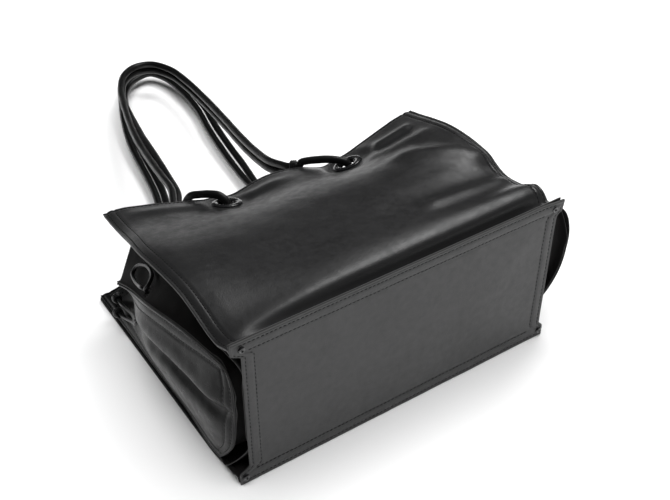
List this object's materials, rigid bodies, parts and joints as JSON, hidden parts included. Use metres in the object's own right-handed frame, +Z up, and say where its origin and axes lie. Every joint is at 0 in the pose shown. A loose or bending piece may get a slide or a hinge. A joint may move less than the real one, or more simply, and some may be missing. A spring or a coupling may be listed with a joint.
{
  "type": "tote bag",
  "caption": "Boxy leather tote lying on its back panel, with bellows sides, cord handles through eyelets, a stiff flanged base and knotted side ties.",
  "frame": {"origin": "middle of the flat part of the back panel, on its underside, where the bag rests", "axes": "+Z up from the back panel to the front panel, +Y from the base to the rim and the handles, +X along the width of the base"},
  "size_m": [0.3644, 0.623, 0.148],
  "materials": {
    "panel_leather": "smooth, soft sheen",
    "base_leather": "smooth, matte, stiff",
    "gusset_leather": "smooth, soft sheen",
    "bellows_leather": "thin, matte",
    "cord_leather": "rolled, smooth",
    "eyelet_metal": "gloss black"
  },
  "bodies": {
    "root": {"base_panel": "base_leather", "front_panel": "panel_leather", "back_panel": "panel_leather", "gusset_left": "gusset_leather", "gusset_right": "gusset_leather", "bellows_left": "bellows_leather", "bellows_right": "bellows_leather", "eyelet_front_left": "eyelet_metal", "eyelet_front_right": "eyelet_metal", "eyelet_back_left": "eyelet_metal", "eyelet_back_right": "eyelet_metal", "handle_front": "cord_leather", "handle_back": "cord_leather", "collar_front_left": "cord_leather", "collar_front_right": "cord_leather", "collar_back_left": "cord_leather", "collar_back_right": "cord_leather", "tie_left": "cord_leather", "tie_right": "cord_leather", "rivet_lower_left": "eyelet_metal", "rivet_upper_left": "eyelet_metal", "rivet_lower_right": "eyelet_metal", "rivet_upper_right": "eyelet_metal"}
  },
  "joints": []
}
